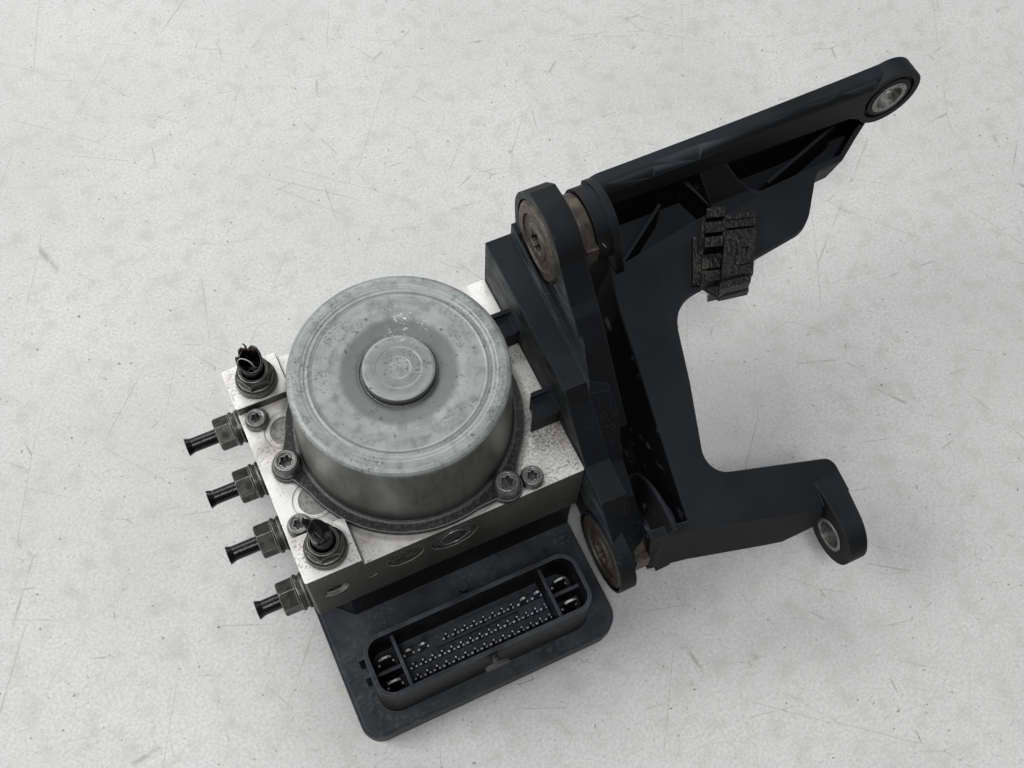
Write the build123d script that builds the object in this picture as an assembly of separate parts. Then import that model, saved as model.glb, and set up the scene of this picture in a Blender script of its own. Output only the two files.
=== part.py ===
# Brake pressure control module, lying on its control unit with the pump motor up.
# Millimetres. Origin: motor axis on the flat floor side of the control unit's cover. +Z: motor axis, up.
# +X: from the wheel pipe side to the bracket side. +Y: from the connector to the back.
import os
from math import cos, radians, sin

from build123d import *

os.makedirs("parts", exist_ok=True)

# Driving dimensions
blockLeft = -51.5
blockRight = 48.5
blockHalfDepth = 41.4
blockBottom = 30.5
blockTop = 62.0
padTop = 66.6  # the two raised pads of the master cylinder ports
padWidth = 19.4
padDepth = 16.0
portHeight = 37.8  # wheel ports
wheelPortY = [(place - 1.5) * 22.4 for place in range(4)]
masterPort = (-41.2, 33.2)
elementHeight = 50.5  # pump elements
valveColumns = [-27.0, -9.0, 9.0, 27.0]
valveRows = [-24.0, 0.0, 24.0]
accumulatorY = 22.0
accumulatorZ = 48.2
accumulatorBore = 8.6
motorFlangeRadius = 41.0
motorRadius = 35.6
motorTop = 101.2
motorScrewRadius = 42.5
motorScrewAngles = [180, -60, 60]
motorScrewPlaces = [
    (motorScrewRadius * cos(radians(angle)), motorScrewRadius * sin(radians(angle)))
    for angle in motorScrewAngles
]
controlScrewPlaces = [(-46.2, 20.9), (-46.2, -20.9), (30.6, -37.0), (30.6, 37.0)]
shaftRadius = 4.0
throw = 1.1  # eccentric's offset
ringRadius = 9.2  # needle ring that drives the pump pistons
plateTop = 11.0  # control unit's plate
plateBottom = 5.0
plateLeft = -52.5
plateRight = 46.6
plateFront = -85.4
rimTop = 34.0  # connector shroud
rimLeft = -42.9
rimRight = 37.5
rimFront = -79.1
rimBack = -56.8
rimWall = 1.5
rimRadius = 6.5
sealTop = 16.0
carrierFace = 48.8  # inner carrier's face beside the block
ledgeTop = 85.5
ledgeRight = 58.6
towerLeft = 60.5
towerRight = 70.0
upperBolt = (25.6, 100.6)  # Y and Z of the upper isolator bolt, along X
lowerBolt = (-61.9, 31.0)
lowerSeatX = 53.5  # right face of the carrier's lower boss
upperSpacerEnd = 76.8
lowerSpacerEnd = 61.5
upperSpacerRadius = 12.2
lowerSpacerRadius = 9.6
discRadius = 14.6
discThickness = 2.2
webHeight = 47.0  # outer bracket's web at its front fold, rising towards the back
webFront = -69.4
webSlope = 0.404
webThickness = 3.0
armFront = 30.5
armBack = 37.6
armTop = 109.2
armLeft = 82.2
armLipLeft = 98.6  # height of the arm's lower edge beside the upper isolator and beside the eye
armLipRight = 96.3
eyePlace = (204.7, 100.6)  # X and Z, axis along Y
eyeRadius = 12.8
earPlace = (-90.6, 32.6)  # Y and Z, axis along X
earLeft = 125.5
earRight = 133.0
sleeveRadius = 7.0
sleeveBore = 5.2
topBoreRadius = 5.4


# Helpers
def save(name, shape):
    """Writes one node. A list of separate solids becomes one group."""
    if isinstance(shape, list):
        shape = Compound(children=[piece.solid() for piece in shape])
    shape.label = name
    export_step(shape, "parts/" + name + ".step")


def block(x0, x1, y0, y1, z0, z1):
    return Pos((x0 + x1) / 2, (y0 + y1) / 2, (z0 + z1) / 2) * Box(x1 - x0, y1 - y0, z1 - z0)


def post(radius, z0, z1, x=0.0, y=0.0):
    return Pos(x, y, (z0 + z1) / 2) * Cylinder(radius, z1 - z0)


def rodX(radius, x0, x1, y, z):
    return Pos((x0 + x1) / 2, y, z) * Rot(0, 90, 0) * Cylinder(radius, x1 - x0)


def rodY(radius, y0, y1, x, z):
    return Pos(x, (y0 + y1) / 2, z) * Rot(90, 0, 0) * Cylinder(radius, abs(y1 - y0))


def sideBore(radius, side, depth, x, z):
    """Bore into the block's front (side -1) or back (side 1) face."""
    inner = side * (blockHalfDepth - depth)
    return rodY(radius, inner, side * (blockHalfDepth + 5), x, z)


def slabX(points, x0, x1):
    """Outline in Y and Z carried along X."""
    return extrude(Plane.YZ.offset(x0) * make_face(Polyline(*points, close=True)), x1 - x0, dir=(1, 0, 0))


def slabY(points, y0, y1):
    """Outline in X and Z carried along Y."""
    face = make_face(Polyline(*[(x, y0, z) for x, z in points], close=True))
    return extrude(face, y1 - y0, dir=(0, 1, 0))


def slabZ(points, z0, z1):
    """Outline in X and Y carried along Z."""
    return extrude(Plane.XY.offset(z0) * make_face(Polyline(*points, close=True)), z1 - z0, dir=(0, 0, 1))


def turned(points):
    """Outline of radius and height turned once round Z."""
    return revolve(make_face(Plane.XZ * Polyline(*points, close=True)), Axis.Z)


def roundedBox(x0, x1, y0, y1, z0, z1, radius):
    face = Pos((x0 + x1) / 2, (y0 + y1) / 2, z0) * RectangleRounded(x1 - x0, y1 - y0, radius)
    return extrude(face, z1 - z0, dir=(0, 0, 1))


def hexBar(acrossFlats, z0, z1):
    face = Pos(0, 0, z0) * RegularPolygon(acrossFlats / 2, 6, major_radius=False)
    return extrude(face, z1 - z0, dir=(0, 0, 1))


def starRecess(radius, z0, z1):
    """Six-lobed drive recess."""
    body = post(radius * 0.8, z0, z1)
    for lobe in range(6):
        angle = radians(60 * lobe)
        body += post(radius * 0.26, z0, z1, radius * 0.76 * cos(angle), radius * 0.76 * sin(angle))
    return body


def webAt(y):
    """Height of the outer bracket's web top."""
    return webHeight + webSlope * (y - webFront)


def webSlab(top, bottom):
    """Sloping slab between two depths below the web's top."""
    front, back = -120.0, 60.0
    outline = [
        (front, webAt(front) - bottom), (back, webAt(back) - bottom),
        (back, webAt(back) - top), (front, webAt(front) - top),
    ]
    return slabX(outline, 40, 240)


def topBore(side):
    """Place of the plugged bore beside the motor, front or back."""
    return -38.5, side * 13.8


# Hydraulic block: raised pads, stepped motor seat, pump, damper, accumulator, port and valve bores
def makeBlock():
    body = block(blockLeft, blockRight, -blockHalfDepth, blockHalfDepth, blockBottom, blockTop)
    for side in (-1, 1):
        edge = side * blockHalfDepth
        inner = side * (blockHalfDepth - padDepth)
        pad = [
            (blockLeft, blockTop - 1), (blockLeft + padWidth + 0.6, blockTop - 1),
            (blockLeft + padWidth, padTop), (blockLeft, padTop),
        ]
        body += slabY(pad, min(edge, inner), max(edge, inner))
        body -= post(motorFlangeRadius + 0.5, blockTop, padTop + 1)
    body = chamfer(body.edges().filter_by(Axis.Z), 0.5)
    body -= post(15.3, 57.4, padTop)
    body -= post(12.0, 41.0, padTop)
    for side in (-1, 1):
        body -= sideBore(8.3, side, 13.4, 0, elementHeight)
        body -= sideBore(5.6, side, 34.0, 0, elementHeight)
        body -= sideBore(6.4, side, 8.4, -17.7, 52.0)
        body -= post(5.5, 54.0, 80, masterPort[0], side * masterPort[1])
        body -= post(topBoreRadius, 55.0, 80, *topBore(side))
        body -= rodX(accumulatorBore, 15, 60, side * accumulatorY, accumulatorZ)
    body -= sideBore(3.4, -1, 12.4, -43.0, 48.5)
    body -= Pos(-43.0, -blockHalfDepth + 0.5, 48.5) * Rot(90, 0, 0) * Cone(3.4, 4.4, 1.0)
    body -= sideBore(1.3, -1, 2.0, -30.0, 47.5)
    for y in wheelPortY:
        body -= rodX(5.0, -60, -38.5, y, portHeight)
    for x in valveColumns:
        for y in valveRows:
            body -= post(5.6, 20, 38.2, x, y)
    for x, y in controlScrewPlaces:
        body -= post(2.4, 20, 80, x, y)
    for x, y in motorScrewPlaces:
        body -= post(2.3, 50, 80, x, y)
    for side in (-1, 1):
        place = topBore(side)
        body -= post(7.4, blockTop - 0.25, blockTop + 1, *place) - post(6.6, 50, 70, *place)
    return body


save("hydraulic_block", makeBlock())


# Motor can: three-eared flange, tapered wall, rounded rim, shallow grooves, dish, boss and inner collar
def makeCan():
    outline = [
        (34.4, 62.0), (38.0, 62.0), (38.0, 64.6), (37.5, 64.8), (37.1, 65.3), (36.8, 68.0),
        (36.3, 76.0), (motorRadius, 98.6), (35.4, 99.8), (34.8, 100.6), (33.8, 101.1),
        (32.6, motorTop), (31.2, motorTop), (30.9, 101.0), (30.0, 101.0), (29.7, 100.7), (29.2, 100.7),
        (28.9, 101.0), (27.6, 101.0), (27.3, 100.8), (22.0, 100.8), (18.0, 100.5), (14.0, 100.2),
        (12.7, 99.9), (12.3, 99.5), (11.9, 99.5), (11.8, 102.2), (11.4, 102.7), (10.7, 102.9),
        (7.4, 102.9), (7.1, 102.7), (3.9, 102.7), (3.6, 102.5), (0.0, 102.5), (0.0, 101.0),
        (9.5, 101.0), (9.5, 96.0), (11.3, 96.0), (11.3, 98.4), (33.0, 98.6), (33.6, 98.0),
        (33.6, 70.0), (34.4, 68.0),
    ]
    can = turned(outline)
    ear = 5.4
    flange = Circle(motorFlangeRadius) - Circle(37.5)
    side = [(motorScrewRadius, ear), (39.2, 11.9)]
    neck = Polygon(*side, *[(x, -y) for x, y in reversed(side)], align=None)
    for angle in motorScrewAngles:
        flange += Rot(0, 0, angle) * (neck + Pos(motorScrewRadius, 0) * Circle(ear))
    for angle in motorScrewAngles:
        flange -= Rot(0, 0, angle) * Pos(motorScrewRadius, 0) * Circle(2.9)
    plate = extrude(Pos(0, 0, blockTop) * flange, 2.6, dir=(0, 0, 1))
    return can + plate


save("motor_can", makeCan())


# Motor screws: tapered pan heads with a raised edge round a six-lobed recess
motorScrew = turned([
    (0, 52.5), (2.2, 52.5), (2.2, 64.6), (4.9, 64.6), (4.9, 65.4), (4.6, 67.4), (4.2, 68.6),
    (3.6, 69.2), (3.0, 69.2), (2.7, 68.6), (0, 68.4),
]) - starRecess(2.3, 66.6, 70)
save("motor_screws", [Pos(x, y, 0) * motorScrew for x, y in motorScrewPlaces])

# Control unit screws: through the block into the control unit's frame
controlScrew = turned([
    (0, 14.0), (2.1, 14.0), (2.1, 62.0), (4.1, 62.0), (4.1, 63.0), (3.8, 64.6), (3.3, 65.4),
    (2.7, 65.4), (2.4, 65.0), (0, 64.8),
]) - starRecess(1.9, 63.4, 67)
save("ecu_screws", [Pos(x, y, 0) * controlScrew for x, y in controlScrewPlaces])

# Plugs of the block
save("top_bore_plugs", [post(topBoreRadius - 0.05, 55.0, 61.8, *topBore(side)) for side in (-1, 1)])


def intoSide(shape, side, x, z):
    """Turns a piece built up Z so that it stands into the block's front or back face."""
    turn = Rot(-90, 0, 0) if side < 0 else Rot(90, 0, 0)
    return Pos(x, side * (blockHalfDepth - 0.2), z) * turn * shape


pumpPlug = turned([
    (0, 0), (4.8, 0), (5.0, 0.5), (5.7, 0.5), (5.9, 0), (7.5, 0), (7.5, 1.2), (8.2, 1.2), (8.2, 13.2),
    (5.4, 13.2), (5.4, 15.4), (3.2, 15.4), (3.2, 4.0), (0, 4.0),
])
save("pump_plugs", [intoSide(pumpPlug, side, 0, elementHeight) for side in (-1, 1)])
damperPlug = turned([(0, 0.2), (5.9, 0.2), (6.3, 0.6), (6.3, 8.2), (0, 8.2)])
save("damper_plugs", [intoSide(damperPlug, side, -17.7, 52.0) for side in (-1, 1)])

# Pump pistons at the outer end of their stroke, with their return springs
pistonEnd = blockHalfDepth - 0.2 - (ringRadius + throw + 0.1)
pumpPiston = turned([(0, 9.0), (3.1, 9.0), (3.1, pistonEnd - 0.5), (2.6, pistonEnd), (0, pistonEnd)])
save("pump_pistons", [intoSide(pumpPiston, side, 0, elementHeight) for side in (-1, 1)])


def coilSpring(radius, wire, height, turns):
    """Round wire spring standing on Z = 0, with its wire's end centres half a wire inside the height."""
    rise = height - 2 * wire
    path = Helix(rise / turns, rise, radius)
    section = Plane(origin=path @ 0, z_dir=path % 0) * Circle(wire)
    return Pos(0, 0, wire) * sweep(section, path=path, is_frenet=True)


pumpSpring = Pos(0, 0, 4.0) * coilSpring(2.4, 0.45, 5.0, 3)
save("pump_springs", [intoSide(pumpSpring, side, 0, elementHeight) for side in (-1, 1)])


# Low pressure accumulators: piston, spring and cap, along X
def alongX(shape, x, side):
    return Pos(x, side * accumulatorY, accumulatorZ) * Rot(0, 90, 0) * shape


accumulatorPiston = turned([
    (0, 0), (6.0, 0), (8.52, 1.5), (8.52, 3.0), (7.6, 3.2), (7.6, 5.0), (8.52, 5.2), (8.52, 11.0),
    (7.0, 11.0), (7.0, 2.6), (0, 2.6),
])
accumulatorCap = turned([(0, 0), (8.55, 0), (8.55, 2.6), (7.4, 3.0), (6.2, 3.0), (5.6, 1.6), (0, 1.6)])
pistonBack = 15.4
springLength = 45.2 - pistonBack - 2.6
for side, place in ((-1, "front"), (1, "back")):
    save("accumulator_piston_" + place, alongX(accumulatorPiston, pistonBack, side))
    spring = coilSpring(5.6, 0.6, springLength, 6)
    save("accumulator_spring_" + place, alongX(spring, pistonBack + 2.6, side))
save("accumulator_caps", [alongX(accumulatorCap, 45.2, side) for side in (-1, 1)])

# Solenoid valves and their coils
valve = turned([
    (0, 14.0), (2.8, 14.0), (3.6, 15.0), (3.6, 28.6), (4.6, 29.0), (5.5, 30.5), (5.5, 36.0),
    (4.2, 38.1), (0, 38.1),
])
coil = turned([(3.75, 11.0), (7.8, 11.0), (7.8, 28.0), (7.0, 28.4), (4.6, 28.4), (3.75, 28.0)])
valvePlaces = [(x, y) for x in valveColumns for y in valveRows]
save("valve_cartridges", [Pos(x, y, 0) * valve for x, y in valvePlaces])
save("solenoid_coils", [Pos(x, y, 0) * coil for x, y in valvePlaces])

# Wheel pipe nuts and their cut pipes, along -X
pipeRadius = 2.7
wheelNut = turned([
    (2.8, -10.0), (4.9, -10.0), (4.9, 0.0), (6.4, 0.0), (6.4, 1.4), (5.9, 1.6), (5.9, 2.4), (6.5, 2.7),
    (6.5, 3.6), (5.7, 4.3), (2.8, 4.3),
])
wheelCrown = turned([(0, 4), (6.0, 4), (6.3, 4.6), (6.3, 9.3), (5.5, 10.0), (0, 10.0)])
wheelNut += hexBar(10.6, 4.1, 10.0) & wheelCrown
wheelNut -= post(2.8, -11, 11)
wheelPipe = turned([
    (0, -12.2), (4.2, -12.2), (4.2, -11.4), (pipeRadius, -10.2), (pipeRadius, 21.4), (2.0, 21.4),
    (1.9, 19.2), (1.9, 12.0), (0, 12.0),
])


def atWheelPort(shape, y):
    return Pos(blockLeft, y, portHeight) * Rot(0, -90, 0) * shape


def cropped(pipe, length, turn):
    """Pipe snipped by a pair of cutters: a flared mouth with a notch, turned differently on each pipe."""
    start = length - 2.6
    body = pipe & post(9, -20, length - 1.2)
    mouth = [(1.9, start), (pipeRadius - 0.1, start), (3.4, length), (2.7, length), (1.9, start + 0.6)]
    body += turned(mouth)
    return body - Rot(0, 0, turn) * Pos(3.2, 0, length + 0.6) * Rot(0, 40, 0) * Box(3.0, 2.0, 5.0)


save("wheel_pipe_nuts", [atWheelPort(wheelNut, y) for y in wheelPortY])
save("wheel_pipe_stubs", [
    atWheelPort(cropped(wheelPipe, length, turn), y)
    for y, length, turn in zip(wheelPortY, (18.4, 21.0, 20.6, 21.4), (200, 60, 35, 150))
])

# Master cylinder nuts on the pads, the torn stub at the back and the pinched one at the front
masterPipe = 3.5
masterNut = turned([
    (3.6, -12.0), (5.4, -12.0), (5.4, 0.0), (7.1, 0.0), (7.1, 1.5), (6.7, 1.8), (6.7, 2.3), (7.0, 2.6),
    (7.0, 3.2), (6.2, 4.0), (3.6, 4.0),
])
masterCrown = turned([(0, 3), (6.4, 3), (6.6, 4.4), (6.6, 7.0), (5.0, 8.6), (0, 8.6)])
masterNut += hexBar(11.2, 3.8, 8.6) & masterCrown
masterNut -= post(3.6, -13, 10)
masterNut -= turned([(0, 7.4), (3.6, 7.4), (4.3, 8.7), (0, 8.7)])
save("master_pipe_nuts", [
    Pos(masterPort[0], side * masterPort[1], padTop) * masterNut for side in (-1, 1)
])


def makeTornStub():
    """Pipe torn open: low in front, standing in shreds at the back, its wall flared."""
    body = post(masterPipe, -11.6, 9.0)
    body += turned([(0, 8.8), (masterPipe, 8.8), (4.6, 17.5), (0, 17.5)])
    body -= turned([(0, 5.0), (2.7, 5.0), (2.8, 8.8), (4.0, 18.0), (0, 18.0)])
    body -= Pos(0, -7.4, 17.0) * Rot(38, 0, 0) * Box(20, 16, 12)
    body -= Pos(1.4, 4.4, 18.4) * Rot(0, 35, 10) * Box(2.4, 6, 5)
    body -= Pos(-3.2, 2.6, 18.0) * Rot(0, -40, 40) * Box(2.4, 5, 5)
    return body


def makePinchedStub():
    """Pipe crushed flat and twisted off, leaning left."""
    body = post(masterPipe, -11.6, 11.0)
    rings = [
        Pos(0, 0, 11.0) * Circle(masterPipe),
        Pos(-0.2, 0.1, 15.5) * Rot(2, -4, 40) * Ellipse(3.7, 2.5),
        Pos(-1.4, 0.4, 21.0) * Rot(4, -10, 60) * Ellipse(2.9, 1.5),
        Pos(-3.0, 0.8, 26.0) * Rot(4, -12, 70) * Ellipse(1.5, 0.8),
        Pos(-4.0, 1.0, 29.5) * Rot(4, -12, 70) * Ellipse(0.5, 0.4),
    ]
    body += loft([ring.face() for ring in rings])
    return body - Pos(-1.6, -2.6, 21.0) * Rot(4, -12, 12) * Box(0.9, 2.6, 11.0)


save("master_stub_back", Pos(masterPort[0], masterPort[1], padTop) * makeTornStub())
save("master_stub_front", Pos(masterPort[0], -masterPort[1], padTop) * makePinchedStub())


# Pump motor's inside: magnets, rotor, bearings, brush plate and brushes
def arcPiece(inner, outer, z0, z1, middle, spread):
    ring = post(outer, z0, z1) - post(inner, z0 - 1, z1 + 1)
    reach = 60.0
    half = radians(spread / 2)
    side = (reach * cos(half), reach * sin(half))
    wedge = slabZ([(0, 0), (side[0], -side[1]), (2 * reach, 0), side], z0 - 1, z1 + 1)
    return Rot(0, 0, middle) * (ring & wedge)


save("motor_magnets", [arcPiece(30.2, 33.55, 76.0, 95.0, middle, 132) for middle in (30, 210)])

eccentric = post(6.5, 46.0, 57.2, throw)
save("rotor_shaft", post(shaftRadius, 43.0, 100.5) + eccentric)
save("eccentric_ring", post(ringRadius, 46.2, 56.8, throw) - post(6.55, 46, 57, throw))


def makeArmature():
    core = post(29.2, 77.5, 94.0) - post(shaftRadius + 0.04, 77, 95)
    for slot in range(12):
        opening = block(15.0, 26.0, -2.6, 2.6, 77, 95) + block(24.0, 30.0, -1.0, 1.0, 77, 95)
        core -= Rot(0, 0, 30 * slot) * opening
    return core


save("armature_core", makeArmature())


def makeWindings():
    """Copper in the slots, joined by the end turns above and below the core."""
    body = turned([(12.5, 74.4), (25.0, 74.4), (26.4, 75.4), (26.4, 77.5), (12.5, 77.5)])
    body += turned([(12.5, 94.0), (26.4, 94.0), (26.4, 96.0), (25.0, 97.0), (12.5, 97.0)])
    for slot in range(12):
        body += Rot(0, 0, 30 * slot) * block(15.6, 25.4, -2.3, 2.3, 77.4, 94.1)
    return body


save("armature_windings", makeWindings())


def makeCommutator():
    body = post(10.0, 67.0, 74.0) + post(11.6, 74.0, 75.0) - post(shaftRadius + 0.04, 66, 76)
    for bar in range(12):
        body -= Rot(0, 0, 30 * bar) * block(8.8, 12.5, -0.3, 0.3, 66, 76)
    return body


save("commutator", makeCommutator())
save("rear_bearing", turned([
    (4.04, 96.4), (6.0, 96.4), (6.0, 97.2), (7.6, 97.2), (7.6, 96.4), (9.45, 96.4), (9.45, 100.9),
    (4.04, 100.9),
]))
save("front_bearing", turned([
    (4.04, 58.6), (6.4, 58.6), (6.4, 59.4), (8.6, 59.4), (8.6, 58.6), (10.95, 58.6), (10.95, 64.4),
    (8.6, 64.4), (8.6, 63.6), (6.4, 63.6), (6.4, 64.4), (4.04, 64.4),
]))


def makeBrushPlate():
    body = turned([
        (9.0, 57.4), (15.2, 57.4), (15.2, 62.0), (33.5, 62.0), (33.5, 65.0), (13.5, 65.0),
        (13.5, 65.6), (11.0, 65.6), (11.0, 58.6), (9.0, 58.6),
    ])
    for side in (-1, 1):
        holder = block(12.5, 25.0, -4.2, 4.2, 64.5, 73.8) - block(11, 24.0, -2.7, 2.7, 67.6, 73.0)
        body += Rot(0, 0, 90 + 90 * side) * holder
    return body


save("brush_plate", makeBrushPlate())
brush = block(9.0, 20.0, -2.6, 2.6, 67.7, 72.9) - post(10.06, 67, 74)
save("carbon_brushes", [Rot(0, 0, 90 + 90 * side) * brush for side in (-1, 1)])

# Control unit: frame with plate, coil chamber, connector shroud and pin slots
pinRows = [-64.1, -69.0, -73.0]
pinPitch = 3.6
pinFirst = -28.2
widePins = [-28.0, -22.5, 16.2, 21.7]
slimPins = [-13.8 + pinPitch * place for place in range(8)]
powerPins = [(x, y) for x in (-36.4, 30.9) for y in (-63.6, -72.2)]


def cornerPlate(inset, z0, z1):
    """Plate outline with its unlike rounded corners, drawn in from its edge."""
    left, right = plateLeft + inset, plateRight - inset
    front, back = plateFront + inset, blockHalfDepth - inset
    face = make_face(Polyline((left, front), (right, front), (right, back), (left, back), close=True))
    corners = {(left, front): 7.0, (right, front): 9.0, (right, back): 4.0, (left, back): 4.0}
    for (x, y), radius in corners.items():
        nearest = face.vertices().sort_by_distance((x, y, 0))[0]
        face = fillet([nearest], max(radius - inset, 0.8))
    return extrude(Pos(0, 0, z0) * face, z1 - z0, dir=(0, 0, 1))


def chamberPlan(inset, z0, z1):
    """Wall under the block, cut off at its front left corner."""
    left, right = -50.8 + inset, 46.0 - inset
    front, back = -41.2 + inset, 41.2 - inset
    cut = 11.0 - 0.4 * inset
    outline = [(left + cut, front), (right, front), (right, back), (left, back), (left, front + cut)]
    return slabZ(outline, z0, z1)


def makeFrame():
    body = cornerPlate(0.0, plateBottom, plateTop - 0.9) + cornerPlate(1.3, plateBottom + 1, plateTop)
    body -= cornerPlate(3.2, plateBottom - 1, 8.8)
    body += chamberPlan(0.0, plateTop - 0.1, blockBottom)
    body -= chamberPlan(3.2, plateTop, blockBottom + 1)
    for x, y in controlScrewPlaces:
        body += post(4.2, 8.8, blockBottom, x, y) & chamberPlan(0.0, 8, 31)
        body -= post(2.12, 12.0, 31, x, y)
    body -= chamberPlan(0.55, blockBottom - 1.3, 31) - chamberPlan(1.65, blockBottom - 2, 32)
    foot = Pos(0, 0, plateTop - 0.5) * shroudFace(0.6)
    rim = Pos(0, 0, rimTop) * shroudFace(0.0)
    body += loft([foot.face(), rim.face()])
    body -= extrude(Pos(0, 0, sealTop - 2.0) * shroudFace(-rimWall), 30, dir=(0, 0, 1))
    body += dividers()
    body -= block(-31.0, 25.0, pinRows[0] - 1.0, pinRows[0] + 1.0, 8, sealTop)
    body -= block(-31.0, 25.0, pinRows[2] - 1.0, pinRows[1] + 1.0, 8, sealTop)
    for x, y in powerPins:
        body -= block(x - 3.1, x + 3.1, y - 0.8, y + 0.8, 8, sealTop)
    for x, y in ((-43, -76), (37, -76), (-43, 33), (37, 28)):
        body += post(2.6, 7.2, 9.0, x, y)
    body += rodY(1.5, -82.2, rimFront + 0.6, -2.4, 29.4)
    button = extrude(Plane.XZ.offset(82.0) * Pos(-2.4, 29.4) * Ellipse(4.5, 2.2), 1.1, dir=(0, -1, 0))
    body += button
    body += post(1.9, plateTop - 0.5, 14.2, -0.3, -48.3)
    for y in (-66.5, -60.0):
        body += block(rimLeft - 2.2, rimLeft + 0.4, y - 0.6, y + 0.6, plateTop - 0.5, 24.0)
    return body


def shroudFace(grow):
    width = rimRight - rimLeft + 2 * grow
    depth = rimBack - rimFront + 2 * grow
    middle = Pos((rimLeft + rimRight) / 2, (rimFront + rimBack) / 2)
    return middle * RectangleRounded(width, depth, rimRadius + grow)


dividerX = (-31.6, 24.9)


def dividers():
    front, back = rimFront + 1.0, rimBack - 1.0
    left, right = dividerX
    body = block(left - 0.6, left + 0.6, front, back, sealTop - 2.1, 29.0)
    body += block(right - 0.6, right + 0.6, front, back, sealTop - 2.1, 29.0)
    body += block(rimLeft + 1.0, left, -68.6, -67.4, sealTop - 2.1, 25.0)
    body += block(right, rimRight - 1.0, -68.6, -67.4, sealTop - 2.1, 25.0)
    return body


def shoulderedPin(x, y, foot, blade, thickness, shoulder, top):
    """Blade standing on a wider foot that is cast into the floor, with a pointed tip."""
    foot, blade = foot / 2, blade / 2
    tip = blade * 0.4
    side = [(foot, 7.2), (foot, shoulder), (blade, shoulder), (blade, top - 1.2), (tip, top)]
    outline = [(x + step, z) for step, z in side] + [(x - step, z) for step, z in reversed(side)]
    return slabY(outline, y - thickness / 2, y + thickness / 2)


signalFoot = 2.6
wideFoot = 4.2
signalPlaces = [(x, pinRows[0]) for x in slimPins]
signalPlaces += [(pinFirst + pinPitch * place, y) for y in pinRows[1:] for place in range(15)]
widePlaces = [(x, pinRows[0]) for x in widePins]
signalPins = [shoulderedPin(x, y, signalFoot, 1.1, 0.6, 18.4, 23.6) for x, y in signalPlaces]
signalPins += [shoulderedPin(x, y, wideFoot, 2.6, 0.8, 18.4, 24.6) for x, y in widePlaces]
save("signal_pins", signalPins)


save("power_pins", [shoulderedPin(x, y, 5.8, 4.6, 0.8, 18.0, 26.4) for x, y in powerPins])


def makeSeal():
    """Cast sealing floor of the connector, with a curved back edge and the slot between the pin rows."""
    left, right = dividerX
    back = ThreePointArc((left + 0.7, -62.6), (-3.4, -60.4), (right - 0.7, -62.6))
    sides = Polyline((right - 0.7, -62.6), (right - 0.7, -77.4), (left + 0.7, -77.4), (left + 0.7, -62.6))
    body = extrude(Pos(0, 0, sealTop - 2.0) * make_face([back, sides]), 2.0, dir=(0, 0, 1))
    body -= block(-18.0, 13.8, -67.6, -65.4, sealTop - 3.0, sealTop + 1)
    for places, foot, thickness in ((signalPlaces, signalFoot, 0.7), (widePlaces, wideFoot, 0.9)):
        for x, y in places:
            reach = foot / 2 + 0.05
            body -= block(x - reach, x + reach, y - thickness / 2, y + thickness / 2, 13, 17)
    return body


save("connector_seal", makeSeal())
save("ecu_frame", makeFrame())


def makeCover():
    body = cornerPlate(0.4, 0.0, plateBottom) - cornerPlate(3.2, 1.8, plateBottom + 1)
    body = chamfer(body.faces().sort_by(Axis.Z)[0].edges(), 0.8)
    return body


save("ecu_cover", makeCover())
save("ecu_gasket", chamberPlan(0.6, blockBottom - 1.3, blockBottom) - chamberPlan(1.6, 28, 31))


def makeBoard():
    body = roundedBox(-47.5, 41.6, -80.5, 36.6, 5.6, 7.2, 3.0)
    for place in ((-30, -20), (10, -18), (-12, 14)):
        x, y = place
        body += roundedBox(x, x + 18, y, y + 18, 4.2, 5.7, 0.6)
    return body


save("circuit_board", makeBoard())


# Inner carrier: side wall, ledge, tower for the upper isolator, front arm with the lower boss, hook clips
def ringedFace(points, centre, radius):
    """Outline round a circle and some points."""
    circle = Pos(centre[0], centre[1]) * Circle(radius)
    return make_hull(circle.edges() + Polyline(*points, close=True).edges())


def hullX(points, centre, radius, x0, x1):
    return extrude(Plane.YZ.offset(x0) * ringedFace(points, centre, radius), x1 - x0, dir=(1, 0, 0))


towerBack = 41.6
carrierTilt = 0.46  # fall of the front arm's top, to the right


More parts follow.
